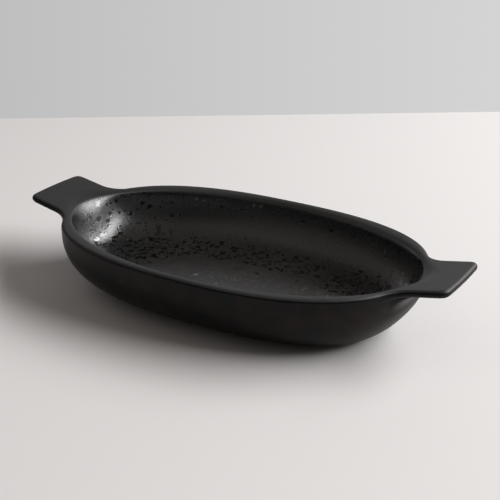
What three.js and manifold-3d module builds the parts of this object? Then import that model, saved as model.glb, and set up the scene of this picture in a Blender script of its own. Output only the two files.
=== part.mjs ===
// Oval eared dish in stoneware: an oval bowl with a rolled rim, a flat ear luted to each end
// and a low foot ring under the floor.
//
// Millimetres. X runs from ear to ear, Y across the dish and Z up. The origin is the middle
// of the plane that the dish stands on.

import * as THREE from 'three';
import { mergeVertices } from 'three/addons/utils/BufferGeometryUtils.js';
import Module from 'manifold-3d';

// Plan of the bowl
const bowlLength = 276;
const bowlWidth = 172.5;
const rimSquareness = 2.45; // 2 is an ellipse, and more is squarer
const baseSquareness = 2.64;
const baseInsetEnds = 31.4; // from the rim's outer edge to the edge of the base
const baseInsetSides = 32.4;
const floorInsetEnds = 41; // from the rim's outer edge to the edge of the flat floor
const floorInsetSides = 47;

// Heights
const rimHeight = 48.3; // top of the rim at the middle of a long side
const endLift = 0.9; // how much higher the rim's own line runs at its two ends
const floorThickness = 7.5;

// Mouth line, at which the slope of the wall would meet the top of the rim in a corner
const mouthInsetEnds = -1;
const mouthInsetSides = 8;
const mouthSquareness = 2;

// Lip, which rounds that corner off
const lipInset = 3.4; // from the rim's outer edge to where the lip starts to bend down
const lipDepthEnds = 14; // from the top of the rim down to where the wall takes over
const lipDepthSides = 5.2;
const lipEarShare = 0.43; // how much of an ear's length the lip bends down
const lipEarStart = 4; // distance from the middle of the ear at which its wide lip narrows
const lipEarSpread = 2.1; // how far past the root of the ear it has gone

// Wall
const edgeThickness = 5.3; // of the rim's edge and of the ears
const wallLeanEnds = 24; // degrees from upright at the top of the inside
const wallLeanSides = 8;
const basinFloorPull = 20; // handles of the inside's curve, at the floor and at the top
const basinWallPull = 25;
const outerBelly = 2.32; // 2 is an ellipse, and more holds the wall upright for longer
const outerTuck = 1.24; // 2 is an ellipse, and less makes the turn to the base tighter

// Ears
const earReach = 32.5; // how far each ear stands out past the bowl
const earTipWidth = 58.6;
const earRootWidth = 59.8;
const earCorner = 7.1;
const earTipBow = 0.6;
const earSlope = 0.19; // rise of the ear for each millimetre outwards
const earRiseInset = 11; // where the rise starts, inside the end of the bowl
const earRiseEase = 6;
const neckFlare = 11.5; // how far the neck spreads on each side where it meets the rim
const neckReach = 7.7; // how far past the bowl the flare starts
const neckRoundness = 0.355; // handle of the neck's curve, as a share of its chord
const gussetDrop = 17.7; // from the rim's top down to where the ear's gusset ends
const gussetSag = 2;
const gussetEdgeHandle = 0.6; // handles of the gusset's curve, as shares of its two arms
const gussetFootHandle = 0.5;
const gussetBlend = 8; // reach of the ear at which its gusset is at full size
const jointReach = 3; // the ears are luted on this far past the end of the bowl

// Foot and the hollow of the underside within it
const footHeight = 1.6;
const footWidth = 5;
const footSetback = 3; // from the edge of the base to the outside of the foot
const footRounding = 0.6;
const recessDepth = 5;
const recessSetback = 9.5; // from the edge of the base to where the hollow starts
const recessRun = 6; // over which the hollow reaches its depth

// Number of facets
const tipSteps = 3;
const cornerSteps = 4;
const sideSteps = 2;
const neckSteps = 6;
const ovalSteps = 13;
const wallSteps = 7;
const basinSteps = 9;
const lipSteps = 5;
const topSteps = 2;
const edgeSteps = 6;
const gussetSteps = 7;
const footRoundingSteps = 2;
const recessSteps = 4;
const stationEase = 1.2; // more brings the inside's facets closer together at the ears
const tangentStep = 1e-4; // radians
const mergeTolerance = 1e-5;

// Worked-out values
const overallLength = bowlLength + 2 * earReach;
const halfLength = overallLength / 2;
const tipCornerX = halfLength - earTipBow;
const bowlHalfLength = bowlLength / 2;
const bowlHalfWidth = bowlWidth / 2;
const floorHeight = footHeight + recessDepth + floorThickness;
const edgeRadius = edgeThickness / 2;
const outerWallTop = rimHeight - edgeThickness;
const gussetFoot = rimHeight - gussetDrop;
const lipReachEnds = earReach * lipEarShare;
const lipEarEnd = earRootWidth / 2 + lipEarSpread;
const jointX = Math.fround(bowlHalfLength + jointReach);

const { degToRad, lerp, smoothstep } = THREE.MathUtils;

// Plan curves

// Point of the oval that lies the given distances inside the rim's outer edge.
function ovalPoint(angle, endInset, sideInset, squareness) {
  const power = 2 / squareness;
  return new THREE.Vector2(
    (bowlHalfLength - endInset) * Math.abs(Math.cos(angle)) ** power,
    (bowlHalfWidth - sideInset) * Math.abs(Math.sin(angle)) ** power,
  );
}

// Angle at which the rim's oval is the given distance from the X axis.
function ovalAngleAt(y) {
  return Math.asin(Math.min(1, y / bowlHalfWidth) ** (rimSquareness / 2));
}

// Direction in which the rim's oval runs at an angle, anticlockwise.
function ovalTangent(angle) {
  const before = ovalPoint(angle - tangentStep, 0, 0, rimSquareness);
  return ovalPoint(angle + tangentStep, 0, 0, rimSquareness).sub(before).normalize();
}

// A quarter of the outer edge, from the middle of the ear's tip to the middle of a long side.
// Each station has its point on the edge, the edge's normal and an angle on the ovals.
function quarterStations() {
  const tipCorner = new THREE.Vector2(tipCornerX, earTipWidth / 2);
  const root = new THREE.Vector2(bowlHalfLength, earRootWidth / 2);
  const inward = root.clone().sub(tipCorner).normalize();
  const cornerStart = new THREE.Vector2(tipCornerX, earTipWidth / 2 - earCorner);
  const cornerEnd = tipCorner.clone().addScaledVector(inward, earCorner);
  const flareStart = root.clone().addScaledVector(inward, -neckReach);
  const neckAngle = ovalAngleAt(root.y + neckFlare);
  const neckEnd = ovalPoint(neckAngle, 0, 0, rimSquareness);
  const handle = flareStart.distanceTo(neckEnd) * neckRoundness;

  const points = [];
  for (let i = 0; i < tipSteps; i += 1) {
    const share = i / tipSteps;
    points.push(new THREE.Vector2(tipCornerX + earTipBow * (1 - share ** 2), cornerStart.y * share));
  }
  const corner = new THREE.QuadraticBezierCurve(cornerStart, tipCorner, cornerEnd);
  points.push(...corner.getPoints(cornerSteps));
  points.push(...new THREE.LineCurve(cornerEnd, flareStart).getPoints(sideSteps).slice(1));
  const neck = new THREE.CubicBezierCurve(
    flareStart,
    flareStart.clone().addScaledVector(inward, handle),
    neckEnd.clone().addScaledVector(ovalTangent(neckAngle), -handle),
    neckEnd,
  );
  points.push(...neck.getPoints(neckSteps).slice(1));

  const travelled = [0];
  for (let i = 1; i < points.length; i += 1) {
    travelled.push(travelled[i - 1] + points[i].distanceTo(points[i - 1]));
  }
  const angles = travelled.map((s) => neckAngle * (s / travelled.at(-1)) ** stationEase);
  for (let i = 1; i <= ovalSteps; i += 1) {
    const angle = neckAngle + (Math.PI / 2 - neckAngle) * (i / ovalSteps);
    points.push(ovalPoint(angle, 0, 0, rimSquareness));
    angles.push(angle);
  }

  return points.map((edge, i) => {
    const last = points.length - 1;
    const before = i > 0 ? points[i - 1] : new THREE.Vector2(points[1].x, -points[1].y);
    const after = i < last ? points[i + 1] : new THREE.Vector2(-points[last - 1].x, points[last - 1].y);
    const along = after.clone().sub(before).normalize();
    return { edge, normal: new THREE.Vector2(along.y, -along.x), angle: angles[i] };
  });
}

// Section curves

// Height of the rim's and the ear's upper face.
function topHeight(x) {
  const out = Math.max(0, x - (bowlHalfLength - earRiseInset));
  const rimLine = rimHeight + endLift * (x / bowlHalfLength) ** 2;
  return rimLine + (earSlope * out * out) / (out + earRiseEase);
}

// A wall's profile from its foot, turn 0, to its top, turn 1: how far in it lies and how
// high, both as shares of the whole.
function wallProfile(turn, belly, tuck) {
  const angle = (turn * Math.PI) / 2;
  return {
    inward: 1 - Math.sin(angle) ** (2 / tuck),
    height: 1 - Math.abs(Math.cos(angle)) ** (2 / belly),
  };
}

// Turn of the outside at a height.
function outerTurnAt(z) {
  const share = (z - footHeight) / (outerWallTop - footHeight);
  return Math.acos((1 - Math.min(1, Math.max(0, share))) ** (outerBelly / 2)) / (Math.PI / 2);
}

// Point of the outside at a turn of its profile.
function outerPoint(angle, turn) {
  const { inward, height } = wallProfile(turn, outerBelly, outerTuck);
  const plan = ovalPoint(
    angle,
    baseInsetEnds * inward,
    baseInsetSides * inward,
    lerp(rimSquareness, baseSquareness, inward),
  );
  return new THREE.Vector3(plan.x, plan.y, footHeight + (outerWallTop - footHeight) * height);
}

// Point of the outside at a height, upright above the top of the wall.
function outerPointAt(angle, z) {
  return outerPoint(angle, outerTurnAt(z)).setZ(z);
}

// Point of the upper face over a point of the plan.
function onTop(plan) {
  return new THREE.Vector3(plan.x, plan.y, topHeight(plan.x));
}

// Inside of the bowl, from the edge of the floor up the wall and over the lip. The wall is
// worked out as distances inside the mouth line, with the height for each.
function insideRows(angle) {
  const endShare = Math.cos(angle) ** 2;
  const mouthInset = lerp(mouthInsetSides, mouthInsetEnds, endShare);
  const wallReach = lerp(floorInsetSides, floorInsetEnds, endShare) - mouthInset;
  const mouth = onTop(ovalPoint(angle, mouthInsetEnds, mouthInsetSides, mouthSquareness));
  const nearEar = 1 - smoothstep(mouth.y, lipEarStart, lipEarEnd);
  const lipDepth = lerp(lipDepthSides, lipDepthEnds, nearEar);
  const lean = degToRad(lerp(wallLeanSides, wallLeanEnds, nearEar));
  const wallTop = new THREE.Vector2(lipDepth * Math.tan(lean), mouth.z - lipDepth);
  const basin = new THREE.CubicBezierCurve(
    new THREE.Vector2(wallReach, floorHeight),
    new THREE.Vector2(wallReach - basinFloorPull, floorHeight),
    new THREE.Vector2(Math.sin(lean), -Math.cos(lean)).multiplyScalar(basinWallPull).add(wallTop),
    wallTop,
  );
  const rows = basin.getPoints(basinSteps).map(({ x: across, y: z }) => {
    const topShare = (1 - (across / wallReach) ** 2) ** 2;
    const squareness = lerp(baseSquareness, mouthSquareness, topShare);
    const plan = ovalPoint(angle, mouthInsetEnds + across, mouthInsetSides + across, squareness);
    return new THREE.Vector3(plan.x, plan.y, z);
  });
  const onRim = ovalPoint(angle, lipInset, lipInset, rimSquareness);
  const onEar = new THREE.Vector2(mouth.x + lipReachEnds, mouth.y);
  const lip = new THREE.QuadraticBezierCurve3(rows.at(-1), mouth, onTop(onRim.lerp(onEar, nearEar)));
  return [...rows, ...lip.getPoints(lipSteps).slice(1)];
}

// Upper face of the rim or ear and its rounded edge. The lower half of the rounding draws in
// under an ear, and stays upright above the wall.
function edgeRows({ edge, normal }, start, earShare) {
  const rows = [];
  const inner = edge.clone().addScaledVector(normal, -edgeRadius);
  for (let i = 1; i <= topSteps; i += 1) {
    rows.push(onTop(new THREE.Vector2(start.x, start.y).lerp(inner, i / topSteps)));
  }
  const centre = topHeight(inner.x) - edgeRadius;
  for (let i = 1; i <= edgeSteps; i += 1) {
    const turn = Math.PI / 2 - (i / edgeSteps) * Math.PI;
    const depth = turn > 0 ? edgeRadius : edgeRadius * earShare;
    const plan = edge.clone().addScaledVector(normal, -depth * (1 - Math.cos(turn)));
    rows.push(new THREE.Vector3(plan.x, plan.y, centre + edgeRadius * Math.sin(turn)));
  }
  return rows;
}

// Underside of an ear and its gusset down to the wall, which fade into the plain wall where
// there is no ear.
function gussetRows(angle, start, earShare) {
  const rows = [];
  const foot = outerPointAt(angle, gussetFoot);
  const elbow = outerPointAt(angle, outerWallTop).setZ(start.z - gussetSag * earShare);
  const curve = new THREE.CubicBezierCurve3(
    start,
    start.clone().lerp(elbow, gussetEdgeHandle),
    foot.clone().lerp(elbow, gussetFootHandle),
    foot,
  );
  for (let i = 1; i <= gussetSteps; i += 1) {
    const share = i / gussetSteps;
    const wall = outerPointAt(angle, lerp(start.z, gussetFoot, share));
    rows.push(wall.lerp(curve.getPoint(share), earShare));
  }
  return rows;
}

// Point of the base at a distance inside its edge.
function basePoint(angle, inset, z) {
  const plan = ovalPoint(angle, baseInsetEnds + inset, baseInsetSides + inset, baseSquareness);
  return new THREE.Vector3(plan.x, plan.y, z);
}

// Outside of the wall, from the foot of the gusset down to the base.
function outsideRows(angle) {
  const rows = [];
  const firstTurn = outerTurnAt(gussetFoot);
  for (let i = 1; i <= wallSteps; i += 1) {
    rows.push(outerPoint(angle, firstTurn * (1 - i / wallSteps)));
  }
  return rows;
}

// Underside of the base, from its flat edge up into the hollow.
function undersideRows(angle) {
  const rows = [];
  for (let i = 0; i <= recessSteps; i += 1) {
    const share = i / recessSteps;
    const z = footHeight + recessDepth * smoothstep(share, 0, 1);
    rows.push(basePoint(angle, recessSetback + recessRun * share, z));
  }
  return rows;
}

// The whole section at a station, from the edge of the floor round to the hollow's flat.
function sectionRows(station) {
  const onOval = ovalPoint(station.angle, 0, 0, rimSquareness);
  const earShare = smoothstep(station.edge.distanceTo(onOval), 0, gussetBlend);
  const inside = insideRows(station.angle);
  const edge = edgeRows(station, inside.at(-1), earShare);
  const gusset = gussetRows(station.angle, edge.at(-1), earShare);
  return [
    ...inside,
    ...edge,
    ...gusset,
    ...outsideRows(station.angle),
    ...undersideRows(station.angle),
  ];
}

// Solids

// A quarter's columns of points, mirrored about both axes into one whole turn.
function fullTurn(quarter) {
  const mirrored = (columns, sx, sy) => columns.map(
    (column) => column.map((p) => new THREE.Vector3(p.x * sx, p.y * sy, p.z)),
  );
  const back = quarter.slice(0, -1).reverse();
  return [
    ...quarter,
    ...mirrored(back, -1, 1),
    ...mirrored(quarter.slice(1), -1, -1),
    ...mirrored(back.slice(0, -1), 1, -1),
  ];
}

// Triangles over a turn of columns, which run anticlockwise. The rows either close on
// themselves or end in flat caps at the first and the last.
function closedLoft(columns, rowsClose) {
  const rowCount = columns[0].length;
  const positions = columns.flat().flatMap((p) => [p.x, p.y, p.z]);
  const index = [];
  const at = (column, row) => (column % columns.length) * rowCount + (row % rowCount);
  for (let c = 0; c < columns.length; c += 1) {
    for (let r = 0; r < (rowsClose ? rowCount : rowCount - 1); r += 1) {
      index.push(at(c, r), at(c, r + 1), at(c + 1, r));
      index.push(at(c + 1, r), at(c, r + 1), at(c + 1, r + 1));
    }
  }
  if (!rowsClose) {
    const first = positions.length / 3;
    positions.push(0, 0, columns[0][0].z, 0, 0, columns[0][rowCount - 1].z);
    for (let c = 0; c < columns.length; c += 1) {
      index.push(first, at(c, 0), at(c + 1, 0));
      index.push(first + 1, at(c + 1, rowCount - 1), at(c, rowCount - 1));
    }
  }
  const geometry = new THREE.BufferGeometry();
  geometry.setAttribute('position', new THREE.Float32BufferAttribute(positions, 3));
  geometry.setIndex(index);
  return geometry;
}

function clayGeometry() {
  return closedLoft(fullTurn(quarterStations().map(sectionRows)), false);
}

// The foot's section runs up its outside, over the top and down its inside.
function footGeometry() {
  const count = tipSteps + cornerSteps + sideSteps + neckSteps + ovalSteps;
  const quarter = [];
  for (let i = 0; i <= count; i += 1) {
    const angle = ((i / count) * Math.PI) / 2;
    const place = (across, z) => basePoint(angle, footSetback + across, z);
    const column = [place(footWidth, footHeight), place(0, footHeight)];
    const rounding = [];
    for (let k = 0; k <= footRoundingSteps; k += 1) {
      const turn = (k / footRoundingSteps) * (Math.PI / 2);
      rounding.push([footRounding * (1 - Math.cos(turn)), footRounding * (1 - Math.sin(turn))]);
    }
    column.push(...rounding.map(([across, z]) => place(across, z)));
    column.push(...rounding.reverse().map(([across, z]) => place(footWidth - across, z)));
    quarter.push(column);
  }
  return closedLoft(fullTurn(quarter), true);
}

// Cutting

const wasm = await Module();
wasm.setup();

function toSolid(geometry) {
  const bare = geometry.clone();
  bare.deleteAttribute('normal');
  bare.deleteAttribute('uv');
  const merged = mergeVertices(bare, mergeTolerance);
  return new wasm.Manifold(new wasm.Mesh({
    numProp: 3,
    vertProperties: new Float32Array(merged.attributes.position.array),
    triVerts: new Uint32Array(merged.index.array),
  }));
}

function toGeometry(solid) {
  const mesh = solid.getMesh();
  const geometry = new THREE.BufferGeometry();
  geometry.setAttribute('position', new THREE.Float32BufferAttribute(mesh.vertProperties, 3));
  geometry.setIndex(Array.from(mesh.triVerts));
  geometry.computeVertexNormals();
  return geometry;
}

// A block that holds everything between two planes square to X.
function slab(fromX, toX) {
  const reach = overallLength;
  const block = new THREE.BoxGeometry(toX - fromX, reach, reach);
  block.translate((fromX + toX) / 2, 0, 0);
  return toSolid(block);
}

const clay = toSolid(clayGeometry());
const bowlSolid = clay.intersect(slab(-jointX, jointX));
const rightEarSolid = clay.intersect(slab(jointX, jointX + overallLength));
const leftEarSolid = clay.intersect(slab(-jointX - overallLength, -jointX));

// Scene

function darkGlaze() {
  return new THREE.MeshStandardMaterial({ color: 0x242120, roughness: 0.48, metalness: 0 });
}

function bareStoneware() {
  return new THREE.MeshStandardMaterial({ color: 0x5a4f47, roughness: 0.9, metalness: 0 });
}

const dish = new THREE.Group();

function addPiece(name, geometry, material) {
  const mesh = new THREE.Mesh(geometry, material);
  mesh.name = name;
  dish.add(mesh);
}

addPiece('dish_body', toGeometry(bowlSolid), darkGlaze());
addPiece('ear_left', toGeometry(leftEarSolid), darkGlaze());
addPiece('ear_right', toGeometry(rightEarSolid), darkGlaze());
addPiece('foot_ring', footGeometry(), bareStoneware());

export default dish;
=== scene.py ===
"""Oval eared dish in matt black reactive glaze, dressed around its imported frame.

Lengths are millimetres in the code that works out shapes, and metres in the meshes and the
materials. X runs from ear to ear, Y across the dish and Z up.
"""

import math

import bmesh
import bpy
import numpy as np
from mathutils import Matrix, Vector


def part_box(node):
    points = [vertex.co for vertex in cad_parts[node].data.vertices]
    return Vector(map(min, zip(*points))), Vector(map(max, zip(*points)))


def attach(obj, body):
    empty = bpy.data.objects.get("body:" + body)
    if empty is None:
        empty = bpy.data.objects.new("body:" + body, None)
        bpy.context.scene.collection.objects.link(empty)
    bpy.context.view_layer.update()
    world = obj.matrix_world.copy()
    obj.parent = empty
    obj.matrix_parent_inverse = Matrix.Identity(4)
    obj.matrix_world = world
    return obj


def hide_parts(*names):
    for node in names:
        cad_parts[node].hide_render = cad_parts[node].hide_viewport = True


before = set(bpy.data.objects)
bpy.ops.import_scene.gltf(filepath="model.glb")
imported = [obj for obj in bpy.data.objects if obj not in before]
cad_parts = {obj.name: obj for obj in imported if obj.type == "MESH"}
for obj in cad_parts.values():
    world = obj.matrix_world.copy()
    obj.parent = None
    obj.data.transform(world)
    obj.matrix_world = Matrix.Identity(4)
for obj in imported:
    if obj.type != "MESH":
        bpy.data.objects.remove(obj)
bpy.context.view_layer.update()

MM = 0.001

# Sizes read from the frame
BODY_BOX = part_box("dish_body")
EAR_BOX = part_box("ear_right")
FOOT_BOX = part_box("foot_ring")
TIP_X = EAR_BOX[1][0] / MM
JOINT_X = EAR_BOX[0][0] / MM
BOWL_HALF_WIDTH = BODY_BOX[1][1] / MM
FOOT_HALF_LENGTH = FOOT_BOX[1][0] / MM
FOOT_HALF_WIDTH = FOOT_BOX[1][1] / MM
FOOT_HEIGHT = BODY_BOX[0][2] / MM

# Plan of the bowl and its ears
JOINT_REACH = 3.0
BOWL_HALF_LENGTH = JOINT_X - JOINT_REACH
RIM_SQUARENESS = 2.45
BASE_SQUARENESS = 2.64
FLOOR_SQUARENESS = 2.15
EAR_TIP_WIDTH = 58.6
EAR_ROOT_WIDTH = 59.8
EAR_CORNER = 7.1
EAR_TIP_BOW = 0.6
NECK_FLARE = 11.5
NECK_REACH = 7.7
NECK_ROUNDNESS = 0.355
STATION_EASE = 1.2
TANGENT_STEP = 1e-4

# Rim and ears
RIM_HEIGHT = 48.3
END_LIFT = 0.9
EDGE_THICKNESS = 5.3
MOUTH_INSET_ENDS = -1.0
MOUTH_INSET_SIDES = 8.0
MOUTH_SQUARENESS = 2.0
LIP_INSET = 3.4
LIP_REACH_ENDS = 13.975
LIP_DEPTH_ENDS = 14.0
LIP_DEPTH_SIDES = 5.2
LIP_FADE_START = 4.0
LIP_FADE_END = 34.0
EAR_SLOPE = 0.19
EAR_RISE_INSET = 11.0
EAR_RISE_EASE = 6.0
GUSSET_DROP = 17.7
GUSSET_SAG = 2.0
GUSSET_BLEND = 8.0
GUSSET_HANDLES = (0.6, 0.5)

# Wall, floor and foot
FLOOR_THICKNESS = 7.5
RECESS_DEPTH = 5.0
RECESS_SETBACK = 9.5
RECESS_RUN = 6.0
OUTER_DRAFT_ENDS = 31.4
OUTER_DRAFT_SIDES = 32.4
OUTER_BELLY = 2.32
OUTER_TUCK = 1.24
FLOOR_INSET_ENDS = 41.0
FLOOR_INSET_SIDES = 47.0
WALL_LEAN_ENDS = math.radians(24)
WALL_LEAN_SIDES = math.radians(8)
BASIN_FLOOR_PULL = 24.0
BASIN_WALL_PULL = 22.0
FOOT_WIDTH = 5.0
FOOT_ROUNDING = 0.6

# Mesh density, for a quarter of the plan and for the section
TIP_STEPS = 9
CORNER_STEPS = 10
SIDE_STEPS = 10
NECK_STEPS = 22
OVAL_STEPS = 45
FLOOR_STEPS = 10
INNER_STEPS = 34
LIP_STEPS = 14
TOP_STEPS = 12
EDGE_STEPS = 20
GUSSET_STEPS = 18
OUTER_STEPS = 26
RECESS_STEPS = 12
BASE_STEPS = 4
FOOT_ROUNDING_STEPS = 5

# Worked-out sizes
TIP_CORNER_X = TIP_X - EAR_TIP_BOW
EDGE_RADIUS = EDGE_THICKNESS / 2
FLOOR_HEIGHT = FOOT_HEIGHT + RECESS_DEPTH + FLOOR_THICKNESS
WALL_TOP = RIM_HEIGHT - EDGE_THICKNESS
GUSSET_FOOT = RIM_HEIGHT - GUSSET_DROP

# Camera, from the photograph's framing
CAMERA_AZIMUTH = math.radians(30.47)
CAMERA_ELEVATION = math.radians(22.68)
CAMERA_ROLL = math.radians(0.49)
CAMERA_DISTANCE = 850.8
CAMERA_TARGET = (-13.74, 39.31, 20.6)
CAMERA_FOCAL_PIXELS = 1119.2
PICTURE_PIXELS = 500
SENSOR_WIDTH = 36.0

# Glaze. Places are metres from the frame's origin, and scales are cells to the metre.
CLOUD_SCALE = 14.0
PATCH_SCALE = 28.0
CLAY_PATCH_SCALE = 55.0
DIMPLE_SCALE = 340.0
PIT_SCALE = 820.0
GRAIN_SCALE = 1300.0
GROG_SCALE = 900.0
CLAY_CLOUD_SCALE = 60.0
WARP_SCALE = 240.0
WARP_REACH = 0.005
LARGE_SPOT_SCALE = 190.0
SMALL_SPOT_SCALE = 330.0
SPOT_SHARE = 0.85
SPOT_SHARE_AWAY = 0.12
SPOT_ROUGHNESS = 0.1
POOL_HALF_LENGTH = 0.096
POOL_HALF_WIDTH = 0.041
POOL_SQUARENESS = 2.4
POOL_INNER_EDGE = (0.3, 0.62)
POOL_OUTER_EDGE = (2.9, 1.4)
CROWDED_END = (0.03, 0.07)
SPOTTED_WALL_FROM = (0.033, 0.037)
SPOTTED_WALL_TO = (0.0455, 0.042)
# Heights over which shade is painted into the inside glaze, darker up the wall
PAINTED_SHADE_UP_WALL = (0.038, 0.046)
RIM_DRIES = (0.046, 0.0482)
RIGHT_EAR = (0.1, 0.132)
RIM_ROUGHNESS = 0.95
RIGHT_EAR_ROUGHNESS = 0.62

# Studio
FLOOR_REACH = 3000.0
FLOOR_EDGE_DISTANCE = 485.0
FLOOR_EDGE_AZIMUTH = math.radians(35.1)
BACKDROP_SHADE = 0.59
# Painted light: how much brighter the backdrop is painted towards the right
BACKDROP_PAINTED_LIGHT_RISE = 0.32
WORLD_REST = 0.045
WORLD_BACK = 0.7
WORLD_TOP = 0.14
GLOW_AZIMUTH = math.radians(-5)
GLOW_SPREAD = (-0.2, 0.6)
GLOW_HEIGHT = (0.62, 0.32)
TOP_HEIGHT = (0.68, 0.92)
WARM_WHITE = (1, 0.93, 0.88)
SOFTBOX_DISTANCE = 2.5


# Plan curves


def oval(angle, end_inset, side_inset, squareness):
    """Points of the oval that lies the given distances inside the rim's outer edge."""
    power = 2 / squareness
    x = (BOWL_HALF_LENGTH - end_inset) * np.abs(np.cos(angle)) ** power
    y = (BOWL_HALF_WIDTH - side_inset) * np.abs(np.sin(angle)) ** power
    return np.stack([x, y], axis=-1)


def lerp(a, b, share):
    return a + (b - a) * share


def smoothstep(value, low, high):
    t = np.clip((value - low) / (high - low), 0, 1)
    return t * t * (3 - 2 * t)


def bezier(points, steps):
    """Points along a Bezier curve of any degree, without its first point."""
    t = np.linspace(0, 1, steps + 1)[1:, None]
    rows = [np.repeat(np.asarray(p, float)[None], steps, axis=0) for p in points]
    while len(rows) > 1:
        rows = [lerp(a, b, t) for a, b in zip(rows, rows[1:])]
    return rows[0]


def quarter_plan():
    """Outer edge, its normals and its angles on the ovals, from the ear's tip to a long side."""
    tip_corner = np.array([TIP_CORNER_X, EAR_TIP_WIDTH / 2])
    root = np.array([BOWL_HALF_LENGTH, EAR_ROOT_WIDTH / 2])
    inward = (root - tip_corner) / np.linalg.norm(root - tip_corner)
    corner_start = tip_corner - [0, EAR_CORNER]
    corner_end = tip_corner + inward * EAR_CORNER
    flare_start = root - inward * NECK_REACH
    neck_angle = math.asin(((root[1] + NECK_FLARE) / BOWL_HALF_WIDTH) ** (RIM_SQUARENESS / 2))
    neck_end = oval(neck_angle, 0, 0, RIM_SQUARENESS)
    ahead = oval(neck_angle + TANGENT_STEP, 0, 0, RIM_SQUARENESS) - neck_end
    handle = np.linalg.norm(neck_end - flare_start) * NECK_ROUNDNESS

    tip_share = np.linspace(0, 1, TIP_STEPS + 1)
    tip_x = TIP_CORNER_X + EAR_TIP_BOW * (1 - tip_share**2)
    tip = np.stack([tip_x, corner_start[1] * tip_share], -1)
    ear = np.vstack([
        tip,
        bezier([corner_start, tip_corner, corner_end], CORNER_STEPS),
        bezier([corner_end, flare_start], SIDE_STEPS),
        bezier(
            [
                flare_start,
                flare_start + inward * handle,
                neck_end - ahead / np.linalg.norm(ahead) * handle,
                neck_end,
            ],
            NECK_STEPS,
        ),
    ])
    travelled = np.concatenate([[0], np.cumsum(np.linalg.norm(np.diff(ear, axis=0), axis=1))])
    ear_angles = neck_angle * (travelled / travelled[-1]) ** STATION_EASE
    oval_angles = np.linspace(neck_angle, math.pi / 2, OVAL_STEPS + 1)[1:]
    edge = np.vstack([ear, oval(oval_angles, 0, 0, RIM_SQUARENESS)])
    before = np.vstack([edge[1] * [1, -1], edge[:-1]])
    after = np.vstack([edge[1:], edge[-2] * [-1, 1]])
    along = after - before
    normal = np.stack([along[:, 1], -along[:, 0]], -1)
    normal /= np.linalg.norm(normal, axis=1)[:, None]
    return edge, normal, np.concatenate([ear_angles, oval_angles])


# Section curves. Each function gives an array of rows, each with a point for every station.


def top_height(x):
    """Height of the rim's and the ears' upper face."""
    out = np.maximum(0, x - (BOWL_HALF_LENGTH - EAR_RISE_INSET))
    lift = END_LIFT * (x / BOWL_HALF_LENGTH) ** 2
    return RIM_HEIGHT + lift + EAR_SLOPE * out**2 / (out + EAR_RISE_EASE)


def cubic(points, t):
    """Point of a cubic Bezier curve."""
    a, b, c, d = points
    return (1 - t) ** 3 * a + 3 * t * (1 - t) ** 2 * b + 3 * t * t * (1 - t) * c + t**3 * d


def wall_profile(turn, belly, tuck):
    """How far in and how high a wall's profile lies, from its foot, turn 0, to its top, turn 1."""
    angle = turn * math.pi / 2
    return 1 - np.sin(angle) ** (2 / tuck), 1 - np.abs(np.cos(angle)) ** (2 / belly)


def outer_turn_at(z):
    """Turn of the outer wall's profile at a height."""
    share = np.clip((z - FOOT_HEIGHT) / (WALL_TOP - FOOT_HEIGHT), 0, 1)
    return np.arccos((1 - share) ** (OUTER_BELLY / 2)) / (math.pi / 2)


def with_height(plan, z):
    """Points in space over points of the plan."""
    return np.concatenate([plan, np.broadcast_to(z, plan.shape[:-1])[..., None]], axis=-1)


def outer_points(angles, turn):
    """Points of the outer wall at a turn of its profile."""
    inward, height = wall_profile(turn, OUTER_BELLY, OUTER_TUCK)
    plan = oval(
        angles,
        OUTER_DRAFT_ENDS * inward,
        OUTER_DRAFT_SIDES * inward,
        lerp(RIM_SQUARENESS, BASE_SQUARENESS, inward),
    )
    return with_height(plan, FOOT_HEIGHT + (WALL_TOP - FOOT_HEIGHT) * height)


def outer_points_at(angles, z):
    """Points of the outer wall at a height."""
    points = outer_points(angles, outer_turn_at(z))
    points[..., 2] = z
    return points


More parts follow.
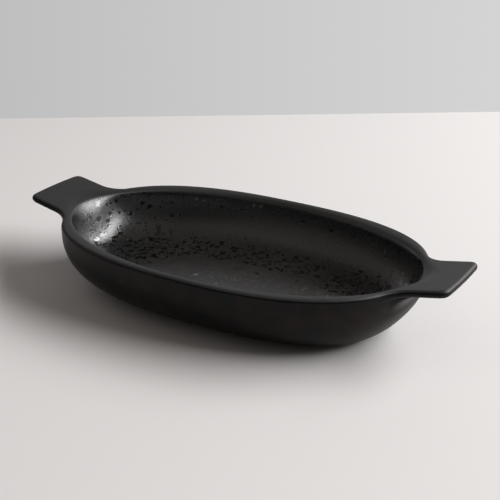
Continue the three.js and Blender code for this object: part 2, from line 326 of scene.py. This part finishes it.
def inside_rows(angles):
    """From the middle of the floor, up the inside of the wall and over the lip."""
    end_share = np.cos(angles) ** 2
    mouth_inset = lerp(MOUTH_INSET_SIDES, MOUTH_INSET_ENDS, end_share)
    wall_reach = lerp(FLOOR_INSET_SIDES, FLOOR_INSET_ENDS, end_share) - mouth_inset
    mouth = oval(angles, MOUTH_INSET_ENDS, MOUTH_INSET_SIDES, MOUTH_SQUARENESS)
    mouth = with_height(mouth, top_height(mouth[:, 0]))
    near_ear = 1 - smoothstep(mouth[:, 1], LIP_FADE_START, LIP_FADE_END)
    lip_depth = lerp(LIP_DEPTH_SIDES, LIP_DEPTH_ENDS, near_ear)
    lean = lerp(WALL_LEAN_SIDES, WALL_LEAN_ENDS, near_ear)

    def inside_mouth(across, squareness, z):
        plan = oval(angles, MOUTH_INSET_ENDS + across, MOUTH_INSET_SIDES + across, squareness)
        return with_height(plan, z)

    rows = []
    floor_edge = inside_mouth(wall_reach, FLOOR_SQUARENESS, FLOOR_HEIGHT)
    for share in np.linspace(0, 1, FLOOR_STEPS + 1)[1:-1]:
        rows.append(floor_edge * [share, share, 1])
    flat = np.full(len(angles), FLOOR_HEIGHT)
    wall_top = np.stack([lip_depth * np.tan(lean), mouth[:, 2] - lip_depth], -1)
    basin = [
        np.stack([wall_reach, flat], -1),
        np.stack([wall_reach - BASIN_FLOOR_PULL, flat], -1),
        wall_top + np.stack([np.sin(lean), -np.cos(lean)], -1) * BASIN_WALL_PULL,
        wall_top,
    ]
    for t in np.linspace(0, 1, INNER_STEPS, endpoint=False):
        across, z = cubic(basin, t).T
        risen = (1 - (across / wall_reach) ** 2) ** 2
        squareness = lerp(FLOOR_SQUARENESS, MOUTH_SQUARENESS, risen)
        rows.append(inside_mouth(across, squareness, z))

    lip_foot = inside_mouth(wall_top[:, 0], MOUTH_SQUARENESS, wall_top[:, 1])
    on_rim = oval(angles, LIP_INSET, LIP_INSET, RIM_SQUARENESS)
    lip_start = lerp(on_rim, mouth[:, :2] + [LIP_REACH_ENDS, 0], near_ear[:, None])
    lip_start = with_height(lip_start, top_height(lip_start[:, 0]))
    for t in np.linspace(0, 1, LIP_STEPS + 1):
        rows.append((1 - t) ** 2 * lip_foot + 2 * t * (1 - t) * mouth + t**2 * lip_start)
    return rows


def edge_rows(edge, normal, start, ear_share):
    """Upper face of the rim and the ears, and their rounded edge."""
    rows = []
    inner = edge - normal * EDGE_RADIUS
    for t in np.linspace(0, 1, TOP_STEPS + 1)[1:]:
        plan = lerp(start[:, :2], inner, t)
        rows.append(with_height(plan, top_height(plan[:, 0])))
    middle = top_height(inner[:, 0]) - EDGE_RADIUS
    turns = np.linspace(math.pi / 2, 0, EDGE_STEPS // 2 + 1)
    for turn in turns[1:]:
        plan = edge - normal * EDGE_RADIUS * (1 - math.cos(turn))
        rows.append(with_height(plan, middle + EDGE_RADIUS * math.sin(turn)))
    for turn in turns[-2::-1]:
        plan = edge - normal * EDGE_RADIUS * ear_share[:, None] * (1 - math.cos(turn))
        rows.append(with_height(plan, middle - EDGE_RADIUS * math.sin(turn)))
    return rows


def gusset_rows(angles, start, ear_share):
    """Underside of the ears and their gussets, which fade into the plain wall."""
    foot = outer_points_at(angles, np.full(len(angles), GUSSET_FOOT))
    elbow = outer_points_at(angles, np.full(len(angles), WALL_TOP))
    elbow[:, 2] = start[:, 2] - GUSSET_SAG * ear_share
    upper, lower = GUSSET_HANDLES
    gusset = [start, lerp(start, elbow, upper), lerp(foot, elbow, lower), foot]
    rows = []
    for t in np.linspace(0, 1, GUSSET_STEPS + 1)[1:]:
        wall = outer_points_at(angles, lerp(start[:, 2], GUSSET_FOOT, t))
        rows.append(lerp(wall, cubic(gusset, t), ear_share[:, None]))
    return rows


def outside_rows(angles):
    """Outside of the wall down to the edge of the base, and in under the hollow base."""
    first_turn = outer_turn_at(GUSSET_FOOT)
    rows = [outer_points(angles, turn) for turn in np.linspace(first_turn, 0, OUTER_STEPS + 1)[1:]]
    for share in np.linspace(0, 1, RECESS_STEPS + 1):
        inset = RECESS_SETBACK + RECESS_RUN * share
        plan = oval(angles, OUTER_DRAFT_ENDS + inset, OUTER_DRAFT_SIDES + inset, BASE_SQUARENESS)
        rows.append(with_height(plan, FOOT_HEIGHT + RECESS_DEPTH * smoothstep(share, 0, 1)))
    base = rows[-1]
    for share in np.linspace(1, 0, BASE_STEPS + 1)[1:-1]:
        rows.append(base * [share, share, 1])
    return rows


def section_rows():
    """Every row of the dish, from the middle of its floor round to the middle of its base."""
    edge, normal, angles = quarter_plan()
    on_oval = oval(angles, 0, 0, RIM_SQUARENESS)
    ear_share = smoothstep(np.linalg.norm(edge - on_oval, axis=1), 0, GUSSET_BLEND)
    inside = inside_rows(angles)
    rim = edge_rows(edge, normal, inside[-1], ear_share)
    gusset = gusset_rows(angles, rim[-1], ear_share)
    return np.array(inside + rim + gusset + outside_rows(angles))


def outer_edge_row():
    """Row of the section on the outer rounding of the edge, where the outside starts."""
    return FLOOR_STEPS - 1 + INNER_STEPS + LIP_STEPS + 1 + TOP_STEPS + EDGE_STEPS // 4


# Meshes


def full_turn(quarter):
    """Rows over a quarter of the plan, mirrored into rows over the whole plan."""
    back = quarter[:, -2::-1]
    return np.concatenate([
        quarter,
        back * [-1, 1, 1],
        quarter[:, 1:] * [-1, -1, 1],
        back[:, :-1] * [1, -1, 1],
    ], axis=1)


def loft(rows, rows_close, second_from=None):
    """Closed mesh over rows of points: the rows close on themselves or end in fans. The
    faces from one row on can be given the second material.
    """
    count_rows, count = rows.shape[:2]
    grid = bmesh.new()
    verts = [[grid.verts.new(p) for p in row * MM] for row in rows]
    for r in range(count_rows if rows_close else count_rows - 1):
        here, there = verts[r], verts[(r + 1) % count_rows]
        for c in range(count):
            d = (c + 1) % count
            face = grid.faces.new((here[c], there[c], there[d], here[d]))
            face.material_index = int(second_from is not None and r >= second_from)
    if not rows_close:
        first = grid.verts.new((0, 0, rows[0, 0, 2] * MM))
        last = grid.verts.new((0, 0, rows[-1, 0, 2] * MM))
        for c in range(count):
            d = (c + 1) % count
            grid.faces.new((first, verts[0][c], verts[0][d]))
            face = grid.faces.new((last, verts[-1][d], verts[-1][c]))
            face.material_index = int(second_from is not None)
    for face in grid.faces:
        face.smooth = True
    grid.normal_update()
    return grid


def cut_pieces(grid):
    """The clay's three pieces, cut flat at the joint planes, with the whole's smooth normals."""
    for side in (-1, 1):
        bmesh.ops.bisect_plane(
            grid,
            geom=grid.verts[:] + grid.edges[:] + grid.faces[:],
            dist=1e-7,
            plane_co=(side * JOINT_X * MM, 0, 0),
            plane_no=(1, 0, 0),
        )
    grid.normal_update()
    layer = grid.verts.layers.float_vector.new("whole_normal")
    for vert in grid.verts:
        vert[layer] = vert.normal
    pieces = {}
    for name, low, high in (
        ("bowl_clay", -JOINT_X, JOINT_X),
        ("left_ear_clay", -math.inf, -JOINT_X),
        ("right_ear_clay", JOINT_X, math.inf),
    ):
        part = grid.copy()
        outside = [f for f in part.faces if not low < f.calc_center_median().x / MM < high]
        bmesh.ops.delete(part, geom=outside, context="FACES")
        open_edges = [e for e in part.edges if e.is_boundary]
        caps = bmesh.ops.holes_fill(part, edges=open_edges, sides=0)["faces"]
        for face in caps:
            face.smooth = False
        pieces[name] = part
    return pieces


def add_object(name, grid, *materials):
    """Object of a finished mesh, which keeps the whole's normals where it has them."""
    mesh = bpy.data.meshes.new(name)
    grid.to_mesh(mesh)
    grid.free()
    for material in materials:
        mesh.materials.append(material)
    whole = mesh.attributes.get("whole_normal")
    if whole:
        normals = np.zeros(len(mesh.vertices) * 3)
        whole.data.foreach_get("vector", normals)
        normals = normals.reshape(-1, 3)
        corners = [
            normals[v] if face.use_smooth else face.normal
            for face in mesh.polygons
            for v in face.vertices
        ]
        mesh.normals_split_custom_set(corners)
    piece = bpy.data.objects.new(name, mesh)
    bpy.context.scene.collection.objects.link(piece)
    return piece


def foot_rows():
    """Section of the foot ring, with both lower edges rounded."""
    count = TIP_STEPS + CORNER_STEPS + SIDE_STEPS + NECK_STEPS + OVAL_STEPS
    angles = np.linspace(0, math.pi / 2, count + 1)
    end_inset = BOWL_HALF_LENGTH - FOOT_HALF_LENGTH
    side_inset = BOWL_HALF_WIDTH - FOOT_HALF_WIDTH

    def place(across, z):
        plan = oval(angles, end_inset + across, side_inset + across, BASE_SQUARENESS)
        return with_height(plan, z)

    turns = np.linspace(0, math.pi / 2, FOOT_ROUNDING_STEPS + 1)
    rounding = FOOT_ROUNDING * (1 - np.stack([np.cos(turns), np.sin(turns)], -1))
    rows = [place(FOOT_WIDTH, FOOT_HEIGHT), place(0, FOOT_HEIGHT)]
    rows += [place(inward, z) for inward, z in rounding]
    rows += [place(FOOT_WIDTH - inward, z) for inward, z in rounding[::-1]]
    return np.array(rows)


# Materials


def linear(value):
    """Linear light of an eight-bit display value."""
    v = value / 255
    return v / 12.92 if v <= 0.04045 else ((v + 0.055) / 1.055) ** 2.4


def colour(red, green, blue):
    return (linear(red), linear(green), linear(blue), 1)


def new_material(name):
    material = bpy.data.materials.new(name)
    material.use_nodes = True
    material.node_tree.nodes.clear()
    return material


class Nodes:
    """Short calls for the nodes of one material or world."""

    def __init__(self, material):
        self.tree = material.node_tree

    def add(self, kind, inputs=None, **settings):
        node = self.tree.nodes.new(kind)
        for key, value in settings.items():
            setattr(node, key, value)
        for key, value in (inputs or {}).items():
            self.feed(node.inputs[key], value)
        return node

    def feed(self, socket, value):
        if isinstance(value, bpy.types.NodeSocket):
            self.tree.links.new(value, socket)
        else:
            socket.default_value = value

    def math(self, operation, a, b=0.0, c=0.0):
        node = self.add("ShaderNodeMath", operation=operation)
        for socket, value in zip(node.inputs, (a, b, c)):
            self.feed(socket, value)
        return node.outputs[0]

    def dot(self, vector, axis):
        node = self.add("ShaderNodeVectorMath", {0: vector, 1: axis}, operation="DOT_PRODUCT")
        return node.outputs["Value"]

    def band(self, value, low, high, to_low=0.0, to_high=1.0):
        """A smooth step of the value, from to_low at low to to_high at high."""
        node = self.add("ShaderNodeMapRange", interpolation_type="SMOOTHSTEP", inputs={
            "Value": value, "From Min": low, "From Max": high, "To Min": to_low, "To Max": to_high,
        })
        return node.outputs[0]

    def noise(self, vector, scale, detail=2.0, roughness=0.5):
        node = self.add("ShaderNodeTexNoise", {
            "Vector": vector, "Scale": scale, "Detail": detail, "Roughness": roughness,
        })
        return node.outputs["Fac"]

    def mix(self, factor, a, b):
        node = self.add("ShaderNodeMix", data_type="RGBA")
        self.feed(node.inputs[0], factor)
        self.feed(node.inputs[6], a)
        self.feed(node.inputs[7], b)
        return node.outputs[2]

    def blend(self, factor, a, b):
        node = self.add("ShaderNodeMix", data_type="FLOAT")
        self.feed(node.inputs[0], factor)
        self.feed(node.inputs[2], a)
        self.feed(node.inputs[3], b)
        return node.outputs[0]


def finish_material(n, tone, rough, specular, relief, depth):
    """Shader with a relief whose full height is the depth, in metres."""
    bump = n.add("ShaderNodeBump", {"Height": relief, "Distance": depth, "Strength": 1.0})
    shader = n.add("ShaderNodeBsdfPrincipled", {
        "Base Color": tone,
        "Roughness": rough,
        "Normal": bump.outputs[0],
        "Specular IOR Level": specular,
    })
    n.add("ShaderNodeOutputMaterial", {"Surface": shader.outputs[0]})


def glaze_nodes(n):
    """Shared nodes of the glaze: its place, the place's axes, broad clouds and dimples."""
    place = n.add("ShaderNodeTexCoord").outputs["Object"]
    axes = n.add("ShaderNodeSeparateXYZ", {0: place}).outputs
    return place, axes, n.noise(place, CLOUD_SCALE, 4.0, 0.6), n.noise(place, DIMPLE_SCALE)


def spot_nodes(n, place, crowd):
    """Irregular dark spots, from none where crowd is 0 to many where it is 1."""
    warp = n.add("ShaderNodeTexNoise", {"Vector": place, "Scale": WARP_SCALE, "Detail": 3.0})
    shift = n.add("ShaderNodeVectorMath", {
        0: warp.outputs["Color"], 1: (0.5, 0.5, 0.5),
    }, operation="SUBTRACT")
    bent = n.add("ShaderNodeVectorMath", {
        0: shift.outputs[0], 1: (WARP_REACH, WARP_REACH, WARP_REACH), 2: place,
    }, operation="MULTIPLY_ADD")
    share = n.math("MULTIPLY", crowd, SPOT_SHARE)

    def layer(scale, inner, outer):
        """Spots of one size, each full within inner and gone beyond outer, in cells."""
        cell = n.add("ShaderNodeTexVoronoi", {"Vector": bent.outputs[0], "Scale": scale})
        disc = n.band(cell.outputs["Distance"], outer, inner)
        pick = n.add("ShaderNodeSeparateColor", {"Color": cell.outputs["Color"]})
        return n.math("MULTIPLY", disc, n.math("LESS_THAN", pick.outputs[0], share))

    large = layer(LARGE_SPOT_SCALE, 0.34, 0.44)
    small = layer(SMALL_SPOT_SCALE, 0.28, 0.42)
    return n.math("MAXIMUM", large, small)


def pool_nodes(n, axes):
    """1 along the edge of the floor, where the glaze pooled, and 0 away from it."""
    along = n.math("ABSOLUTE", n.math("DIVIDE", axes["X"], POOL_HALF_LENGTH))
    across = n.math("ABSOLUTE", n.math("DIVIDE", axes["Y"], POOL_HALF_WIDTH))
    out = n.math(
        "ADD",
        n.math("POWER", along, POOL_SQUARENESS),
        n.math("POWER", across, POOL_SQUARENESS),
    )
    return n.math("MULTIPLY", n.band(out, *POOL_INNER_EDGE), n.band(out, *POOL_OUTER_EDGE))


def crowd_nodes(n, place, axes):
    """How thickly the spots lie: most in the pool, in patches and at the right end."""
    from_below = n.band(axes["Z"], *SPOTTED_WALL_FROM)
    wall = n.math("MULTIPLY", from_below, n.band(axes["Z"], *SPOTTED_WALL_TO))
    pool = n.math("MAXIMUM", pool_nodes(n, axes), n.math("MULTIPLY", wall, 0.5))
    patch = n.band(n.noise(place, PATCH_SCALE, 3.0), 0.38, 0.56, 0.35, 1.0)
    patch = n.math("MAXIMUM", patch, n.band(axes["X"], *CROWDED_END))
    return n.math("MULTIPLY", patch, n.band(pool, 0.0, 1.0, SPOT_SHARE_AWAY, 1.0))


def inside_glaze():
    """Satin black reactive glaze with glossy spots. Shade is painted into it, darker up the wall,
    and it is dry on the rim and the ears.
    """
    material = new_material("reactive_glaze_inside")
    n = Nodes(material)
    place, axes, cloud, dimples = glaze_nodes(n)
    spot = spot_nodes(n, place, crowd_nodes(n, place, axes))
    pitting = n.noise(place, PIT_SCALE, 2.0, 0.7)

    mottle = n.math("ADD", n.math("MULTIPLY", cloud, 0.5), n.math("MULTIPLY", pitting, 0.5))
    tone = n.mix(n.band(mottle, 0.38, 0.62), colour(25, 24, 24), colour(41, 40, 39))
    # Painted shade: the glaze turns darker from 38 mm up, over the upper wall, the lip, the rim
    # and the ears, where the steep wall gets less light
    tone = n.mix(n.band(axes["Z"], *PAINTED_SHADE_UP_WALL), tone, colour(11, 10, 10))
    tone = n.mix(spot, tone, colour(7, 7, 7))

    rough = n.blend(spot, n.band(cloud, 0.3, 0.7, 0.25, 0.31), SPOT_ROUGHNESS)
    dry = n.band(axes["X"], *RIGHT_EAR, RIM_ROUGHNESS, RIGHT_EAR_ROUGHNESS)
    rough = n.blend(n.band(axes["Z"], *RIM_DRIES), rough, dry)

    texture = n.math("MULTIPLY_ADD", dimples, 0.3, pitting)
    finish_material(n, tone, rough, 0.9, n.blend(spot, texture, 0.4), 0.00024)
    return material


def outside_glaze():
    """The same glaze where it is thin and dry, with warm clay showing faintly through."""
    material = new_material("reactive_glaze_outside")
    n = Nodes(material)
    place, _, cloud, dimples = glaze_nodes(n)
    patch = n.noise(place, CLAY_PATCH_SCALE, 5.0, 0.65)
    tone = n.mix(n.band(patch, 0.42, 0.62), colour(6, 6, 6), colour(23, 15, 12))
    rough = n.band(cloud, 0.3, 0.7, 0.38, 0.46)
    grain = n.noise(place, GRAIN_SCALE, 3.0, 0.6)
    texture = n.math("MULTIPLY", n.math("ADD", grain, dimples), 0.3)
    finish_material(n, tone, rough, 0.18, texture, 0.00006)
    return material


def stoneware_material():
    """Bare fired clay of the foot, with its grog showing."""
    material = new_material("bare_stoneware")
    n = Nodes(material)
    place = n.add("ShaderNodeTexCoord").outputs["Object"]
    grog = n.noise(place, GROG_SCALE, 3.0, 0.6)
    cloud = n.noise(place, CLAY_CLOUD_SCALE, 3.0)
    tone = n.mix(n.band(grog, 0.45, 0.7), colour(96, 84, 76), colour(140, 124, 112))
    tone = n.mix(n.band(cloud, 0.4, 0.7, 0.0, 0.4), tone, colour(78, 66, 58))
    finish_material(n, tone, n.band(grog, 0.3, 0.7, 0.8, 0.95), 0.5, grog, 0.00008)
    return material


def floor_material():
    """Plain pale floor."""
    material = new_material("studio_floor")
    n = Nodes(material)
    shader = n.add("ShaderNodeBsdfPrincipled", {
        "Base Color": colour(238, 235, 234), "Roughness": 0.9, "Specular IOR Level": 0.1,
    })
    n.add("ShaderNodeOutputMaterial", {"Surface": shader.outputs[0]})
    return material


# Pieces


def build_dish():
    """Bowl and ears: one lofted form, cut into the pieces that its nodes hold."""
    inside, outside = inside_glaze(), outside_glaze()
    nodes = {"bowl_clay": "dish_body", "left_ear_clay": "ear_left", "right_ear_clay": "ear_right"}
    whole = loft(full_turn(section_rows()), False, outer_edge_row())
    for name, grid in cut_pieces(whole).items():
        piece = add_object(name, grid, inside, outside)
        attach(piece, "root")
        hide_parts(nodes[name])


def build_foot():
    foot = add_object("foot_clay", loft(full_turn(foot_rows()), True), stoneware_material())
    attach(foot, "root")
    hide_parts("foot_ring")


# Studio


def camera_axes():
    """Right, up and forward of the camera."""
    forward = Vector((
        -math.sin(CAMERA_AZIMUTH) * math.cos(CAMERA_ELEVATION),
        math.cos(CAMERA_AZIMUTH) * math.cos(CAMERA_ELEVATION),
        -math.sin(CAMERA_ELEVATION),
    ))
    level = Vector((math.cos(CAMERA_AZIMUTH), math.sin(CAMERA_AZIMUTH), 0))
    above = level.cross(forward)
    right = level * math.cos(CAMERA_ROLL) + above * math.sin(CAMERA_ROLL)
    return right, right.cross(forward), forward


def add_camera():
    """Camera at the photograph's angle and framing."""
    right, up, forward = camera_axes()
    data = bpy.data.cameras.new("camera")
    data.sensor_width = SENSOR_WIDTH
    data.lens = CAMERA_FOCAL_PIXELS / PICTURE_PIXELS * SENSOR_WIDTH
    data.clip_start = 0.01
    camera = bpy.data.objects.new("camera", data)
    target = Vector(CAMERA_TARGET) * MM
    turn = Matrix((right, up, -forward)).transposed().to_4x4()
    camera.matrix_world = Matrix.Translation(target - forward * CAMERA_DISTANCE * MM) @ turn
    bpy.context.scene.collection.objects.link(camera)
    bpy.context.scene.camera = camera


def add_softbox(name, azimuth, elevation, width, height, power, tint=(1, 1, 1)):
    """Area light of a size in metres, at an azimuth from +Y towards +X, facing the dish."""
    data = bpy.data.lights.new(name, "AREA")
    data.shape = "RECTANGLE"
    data.size = width
    data.size_y = height
    data.energy = power
    data.color = tint
    light = bpy.data.objects.new(name, data)
    azimuth, elevation = math.radians(azimuth), math.radians(elevation)
    towards = Vector((
        math.sin(azimuth) * math.cos(elevation),
        math.cos(azimuth) * math.cos(elevation),
        math.sin(elevation),
    ))
    light.location = towards * SOFTBOX_DISTANCE
    light.rotation_euler = towards.to_track_quat("Z", "Y").to_euler()
    bpy.context.scene.collection.objects.link(light)


def add_floor():
    """Pale floor that ends in a straight edge behind the dish."""
    across = Vector((math.cos(FLOOR_EDGE_AZIMUTH), math.sin(FLOOR_EDGE_AZIMUTH), 0)) * FLOOR_REACH
    back = Vector((-across.y, across.x, 0))
    edge = back.normalized() * FLOOR_EDGE_DISTANCE
    grid = bmesh.new()
    corners = [edge + across, edge - across, edge - across - back * 2, edge + across - back * 2]
    grid.faces.new([grid.verts.new(c * MM) for c in corners])
    grid.normal_update()
    mesh = bpy.data.meshes.new("studio_floor")
    grid.to_mesh(mesh)
    grid.free()
    mesh.materials.append(floor_material())
    floor = bpy.data.objects.new("studio_floor", mesh)
    bpy.context.scene.collection.objects.link(floor)


def add_world():
    """Pale grey backdrop as the camera sees it, with painted light that brightens it towards the
    right.
    Its light on the dish comes mostly from low on the backdrop's side, less from overhead and a
    little from all round.
    """
    world = bpy.data.worlds.new("studio")
    world.use_nodes = True
    n = Nodes(world)
    background = n.tree.nodes["Background"]
    way = n.add("ShaderNodeTexCoord").outputs["Generated"]
    back = n.dot(way, (math.sin(GLOW_AZIMUTH), math.cos(GLOW_AZIMUTH), 0))
    side = n.dot(way, (math.cos(CAMERA_AZIMUTH), math.sin(CAMERA_AZIMUTH), 0))
    height = n.add("ShaderNodeSeparateXYZ", {0: way}).outputs["Z"]
    glow = n.math("MULTIPLY", n.band(back, *GLOW_SPREAD), n.band(height, *GLOW_HEIGHT))
    light = n.math("MULTIPLY_ADD", glow, WORLD_BACK - WORLD_REST, WORLD_REST)
    light = n.math("MAXIMUM", light, n.band(height, *TOP_HEIGHT, 0.0, WORLD_TOP))
    # Painted light: the backdrop the camera sees is painted brighter towards the right, as if lit
    # from that side
    seen = n.math("MULTIPLY_ADD", side, BACKDROP_PAINTED_LIGHT_RISE, BACKDROP_SHADE)
    is_camera = n.add("ShaderNodeLightPath").outputs["Is Camera Ray"]
    white = n.math("MAXIMUM", is_camera, glow)
    n.feed(background.inputs["Color"], n.mix(white, (*WARM_WHITE, 1), (1, 1, 1, 1)))
    n.feed(background.inputs["Strength"], n.blend(is_camera, light, seen))
    bpy.context.scene.world = world


add_camera()
build_dish()
build_foot()
add_floor()
add_world()
add_softbox("key_softbox", 55, 38, width=2.8, height=1.0, power=86)
add_softbox("left_softbox", -128, 42, width=3.2, height=2.6, power=5.4, tint=(1, 0.93, 0.89))
bpy.context.scene.view_settings.view_transform = "Standard"
